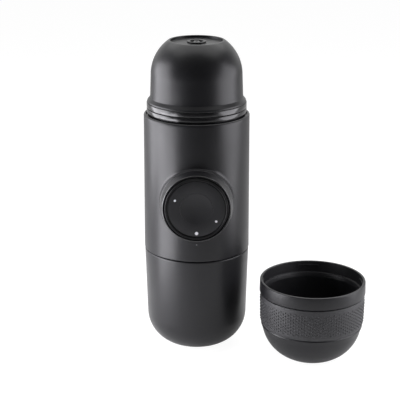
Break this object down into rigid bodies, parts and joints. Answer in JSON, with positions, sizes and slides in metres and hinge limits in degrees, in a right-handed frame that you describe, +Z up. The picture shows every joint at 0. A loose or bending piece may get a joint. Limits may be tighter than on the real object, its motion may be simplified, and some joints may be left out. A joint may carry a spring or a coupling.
{
  "type": "handheld manual espresso maker",
  "caption": "Handheld manual espresso maker standing on its water tank, with a side piston button, a screwed neck and domed outlet head, and its cup beside it.",
  "frame": {"origin": "centre of the flat foot of the water tank, on the surface that it stands on", "axes": "+Z up the machine's axis, -Y the front with the piston button, +X towards the cup"},
  "size_m": [0.1253, 0.0831, 0.1778],
  "materials": {
    "matte_shell": "fine soft-touch matte, dark grey",
    "gloss_black": "moulded high gloss black",
    "black_plastic": "satin moulded black",
    "frame_plastic": "plain moulded grey",
    "seal_rubber": "smooth black seal",
    "grip_silicone": "matte black with fine raised dots",
    "steel": "stainless steel",
    "mark_paint": "flat light grey print"
  },
  "bodies": {
    "tank": {"water_tank": "matte_shell"},
    "tank_seal": {"tank_seal_ring": "seal_rubber"},
    "machine": {"body_shell": "matte_shell", "index_mark": "mark_paint", "base_collar": "black_plastic", "base_gasket": "seal_rubber", "inlet_strainer": "steel", "air_vent_valve": "seal_rubber", "pump_frame": "frame_plastic", "frame_screws": "steel", "cylinder_liner": "steel", "inlet_seat": "seal_rubber", "outlet_seat": "seal_rubber", "outlet_plug": "black_plastic", "feed_tube": "frame_plastic", "inlet_spring": "steel", "outlet_spring": "steel", "piston_guide": "matte_shell", "neck_collar": "gloss_black", "shower_screen": "steel", "screen_clip": "steel", "basket_seal": "seal_rubber"},
    "inlet_valve": {"inlet_ball": "steel"},
    "outlet_valve": {"outlet_ball": "steel"},
    "plunger": {"plunger": "black_plastic", "piston_ring": "seal_rubber", "plunger_screw": "steel", "return_spring": "steel"},
    "button": {"piston_button": "black_plastic", "button_insert": "black_plastic", "button_dots": "mark_paint"},
    "basket": {"filter_basket": "steel"},
    "head_seal": {"head_seal": "seal_rubber"},
    "head": {"head_liner": "gloss_black", "outlet_head": "matte_shell", "outlet_nozzle": "gloss_black"},
    "cup": {"cup_bowl": "black_plastic", "cup_liner": "gloss_black", "cup_sleeve": "grip_silicone"}
  },
  "joints": [
    {"name": "machine_rise", "type": "slide", "parent": "tank", "child": "tank_seal", "axis": [0, 0, 1], "range_m": [0, 0.0096]},
    {"name": "machine_turn", "type": "hinge", "parent": "tank_seal", "child": "machine", "pos_m": [0, 0, 0.06], "axis": [0, 0, 1], "range_deg": [0, 540]},
    {"name": "inlet_valve_lift", "type": "slide", "parent": "machine", "child": "inlet_valve", "axis": [0, 0, 1], "range_m": [0, 0.001], "stiffness_N_per_m": 20, "springref_m": -0.004, "deforming": ["inlet_spring"]},
    {"name": "outlet_valve_lift", "type": "slide", "parent": "machine", "child": "outlet_valve", "axis": [0, 0, 1], "range_m": [0, 0.001], "stiffness_N_per_m": 20, "springref_m": -0.004, "deforming": ["outlet_spring"]},
    {"name": "piston_stroke", "type": "slide", "parent": "machine", "child": "plunger", "axis": [0, -1, 0], "range_m": [0, 0.022], "deforming": ["return_spring"]},
    {"name": "button_turn", "type": "hinge", "parent": "plunger", "child": "button", "pos_m": [0, -0.038, 0.0923], "axis": [0, 1, 0], "range_deg": [0, 45]},
    {"name": "basket_lift", "type": "slide", "parent": "machine", "child": "basket", "axis": [0, 0, 1], "range_m": [0, 0.05]},
    {"name": "head_rise", "type": "slide", "parent": "basket", "child": "head_seal", "axis": [0, 0, 1], "range_m": [0, 0.0096]},
    {"name": "head_turn", "type": "hinge", "parent": "head_seal", "child": "head", "pos_m": [0, 0, 0.145], "axis": [0, 0, 1], "range_deg": [0, 540]},
    {"name": "cup_lift", "type": "slide", "parent": "tank", "child": "cup", "axis": [0, 0, 1], "range_m": [0, 0.18]}
  ],
  "couplings": [
    {"joint": "machine_rise", "follows": "machine_turn", "m_per_rad": 0.0010186},
    {"joint": "head_rise", "follows": "head_turn", "m_per_rad": 0.0010186}
  ]
}
